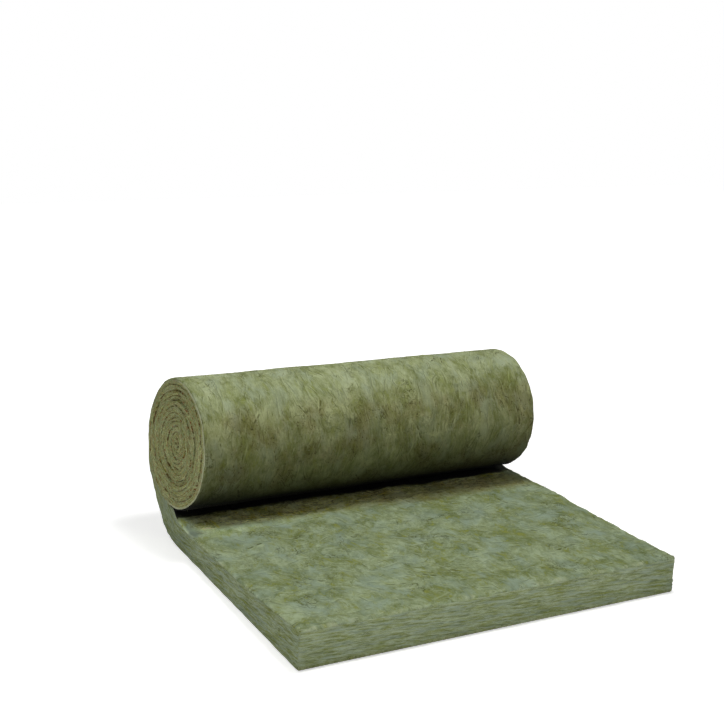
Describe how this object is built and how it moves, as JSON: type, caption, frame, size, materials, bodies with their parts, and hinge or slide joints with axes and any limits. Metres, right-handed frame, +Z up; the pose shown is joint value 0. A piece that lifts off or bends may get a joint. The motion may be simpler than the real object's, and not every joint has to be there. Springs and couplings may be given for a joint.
{
  "type": "insulation roll",
  "caption": "Roll of green-grey mineral wool insulation, partly unrolled: the wound roll lies on the flat stretch that runs out from under it, with its spiral turns open at both ends.",
  "frame": {"origin": "On the floor, under the middle of the bounding box", "axes": "+Z up; X across the blanket, along the roll's axis; -Y towards the cut edge of the unrolled stretch, with the roll at +Y"},
  "size_m": [1.2458, 1.1588, 0.5329],
  "materials": {
    "mineral_wool": "matte fibrous wool, pale green-grey with olive and blue-grey mottling"
  },
  "bodies": {
    "root": {"insulation_blanket": "mineral_wool"}
  },
  "joints": []
}
